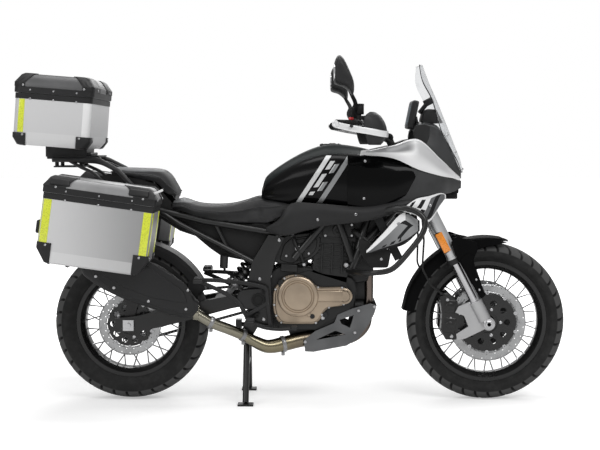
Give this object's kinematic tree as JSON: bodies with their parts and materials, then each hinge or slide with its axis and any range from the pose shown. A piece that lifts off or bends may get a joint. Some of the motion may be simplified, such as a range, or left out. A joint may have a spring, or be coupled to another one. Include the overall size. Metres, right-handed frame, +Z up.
{
  "type": "adventure motorcycle",
  "caption": "Adventure motorcycle with tall screen, wire wheels, crash bars, skid plate, raised silencer and hard aluminium side and top cases with opening lids, on its centre stand.",
  "frame": {"origin": "on the floor under the middle of the overall length and width", "axes": "+X forward, +Y to the rider's left, +Z up"},
  "size_m": [2.2592, 0.976, 1.42],
  "materials": {
    "tyre_rubber": "dull black rubber",
    "wheel_metal": "black rim and hub with bright spokes",
    "disc_steel": "ground steel",
    "sprocket_steel": "machined steel",
    "chain_steel": "oiled steel",
    "fork_silver": "satin silver",
    "cast_aluminium": "cast silver",
    "yoke_grey": "satin dark grey",
    "bar_black": "satin black",
    "black_plastic": "matt black",
    "gloss_black": "gloss black paint",
    "caliper_black": "satin black",
    "hose_rubber": "smooth black",
    "frame_black": "satin black powder coat",
    "axle_steel": "turned steel",
    "engine_black": "matt black casting",
    "engine_bronze": "satin bronze casting",
    "radiator_metal": "black finned aluminium",
    "stainless": "stainless, slightly golden",
    "silencer_black": "matt black",
    "plate_grey": "satin grey",
    "spring_steel": "black spring on a steel damper",
    "seat_vinyl": "grained black and dark grey cover",
    "silver_paint": "silver fading to white",
    "nose_grey": "dark grey",
    "white_plastic": "white, grey and black bands",
    "lamp_lens": "clear lens",
    "clear_screen": "clear",
    "cast_black": "satin black casting",
    "case_aluminium": "brushed silver"
  },
  "bodies": {
    "chassis": {"main_frame": "frame_black", "subframe": "frame_black", "swingarm": "frame_black", "rear_axle": "axle_steel", "rear_caliper": "caliper_black", "chain": "chain_steel", "engine": "engine_black", "engine_covers": "engine_bronze", "radiator": "radiator_metal", "exhaust_pipe": "stainless", "silencer": "silencer_black", "skid_plate": "plate_grey", "shock_absorber": "spring_steel", "rear_hugger": "black_plastic", "fuel_tank": "gloss_black", "rider_seat": "seat_vinyl", "pillion_seat": "seat_vinyl", "tail_unit": "black_plastic", "tank_shrouds": "gloss_black", "upper_fairings": "silver_paint", "nose_cowl": "nose_grey", "side_covers": "black_plastic", "wings": "white_plastic", "lamps": "lamp_lens", "windscreen": "clear_screen", "dashboard": "black_plastic", "crash_bars": "frame_black", "footrests": "cast_black", "luggage_rack": "frame_black", "top_box": "case_aluminium", "pannier_right": "case_aluminium", "pannier_left": "case_aluminium", "case_guards": "black_plastic"},
    "fork": {"fork_tubes": "fork_silver", "fork_legs": "cast_aluminium", "yokes": "yoke_grey", "handlebar": "bar_black", "bar_controls": "black_plastic", "handguards": "black_plastic", "mirrors": "black_plastic", "front_fender": "gloss_black", "front_calipers": "caliper_black", "brake_hoses": "hose_rubber"},
    "front_wheel_set": {"front_tyre": "tyre_rubber", "front_wheel": "wheel_metal", "front_discs": "disc_steel"},
    "rear_wheel_set": {"rear_tyre": "tyre_rubber", "rear_wheel": "wheel_metal", "rear_disc": "disc_steel", "rear_sprocket": "sprocket_steel"},
    "main_stand": {"centre_stand": "frame_black"},
    "prop_stand": {"side_stand": "frame_black"},
    "right_lid": {"pannier_lid_right": "case_aluminium"},
    "left_lid": {"pannier_lid_left": "case_aluminium"},
    "top_lid": {"top_box_lid": "case_aluminium"}
  },
  "joints": [
    {"name": "steering", "type": "hinge", "parent": "chassis", "child": "fork", "pos_m": [0.75901, 0, 0.30862], "axis": [-0.454, 0, 0.891], "range_deg": [-35, 35]},
    {"name": "front_wheel_spin", "type": "hinge", "parent": "fork", "child": "front_wheel_set", "pos_m": [0.8, 0, 0.3295], "axis": [0, 1, 0], "continuous": true},
    {"name": "rear_wheel_spin", "type": "hinge", "parent": "chassis", "child": "rear_wheel_set", "pos_m": [-0.68, 0, 0.325], "axis": [0, 1, 0], "continuous": true},
    {"name": "centre_stand_fold", "type": "hinge", "parent": "chassis", "child": "main_stand", "pos_m": [-0.196, 0, 0.292], "axis": [0, 1, 0], "range_deg": [0, 78]},
    {"name": "side_stand_swing", "type": "hinge", "parent": "chassis", "child": "prop_stand", "pos_m": [-0.03, 0.176, 0.285], "axis": [0, -0.9659, -0.2588], "range_deg": [0, 100]},
    {"name": "right_case_lid", "type": "hinge", "parent": "chassis", "child": "right_lid", "pos_m": [-0.523, -0.372, 0.827], "axis": [0, 1, 0], "range_deg": [0, 95]},
    {"name": "left_case_lid", "type": "hinge", "parent": "chassis", "child": "left_lid", "pos_m": [-0.523, 0.372, 0.827], "axis": [0, 1, 0], "range_deg": [0, 95]},
    {"name": "top_case_lid", "type": "hinge", "parent": "chassis", "child": "top_lid", "pos_m": [-0.7944, 0, 1.25], "axis": [0, 1, 0], "range_deg": [0, 95]}
  ]
}
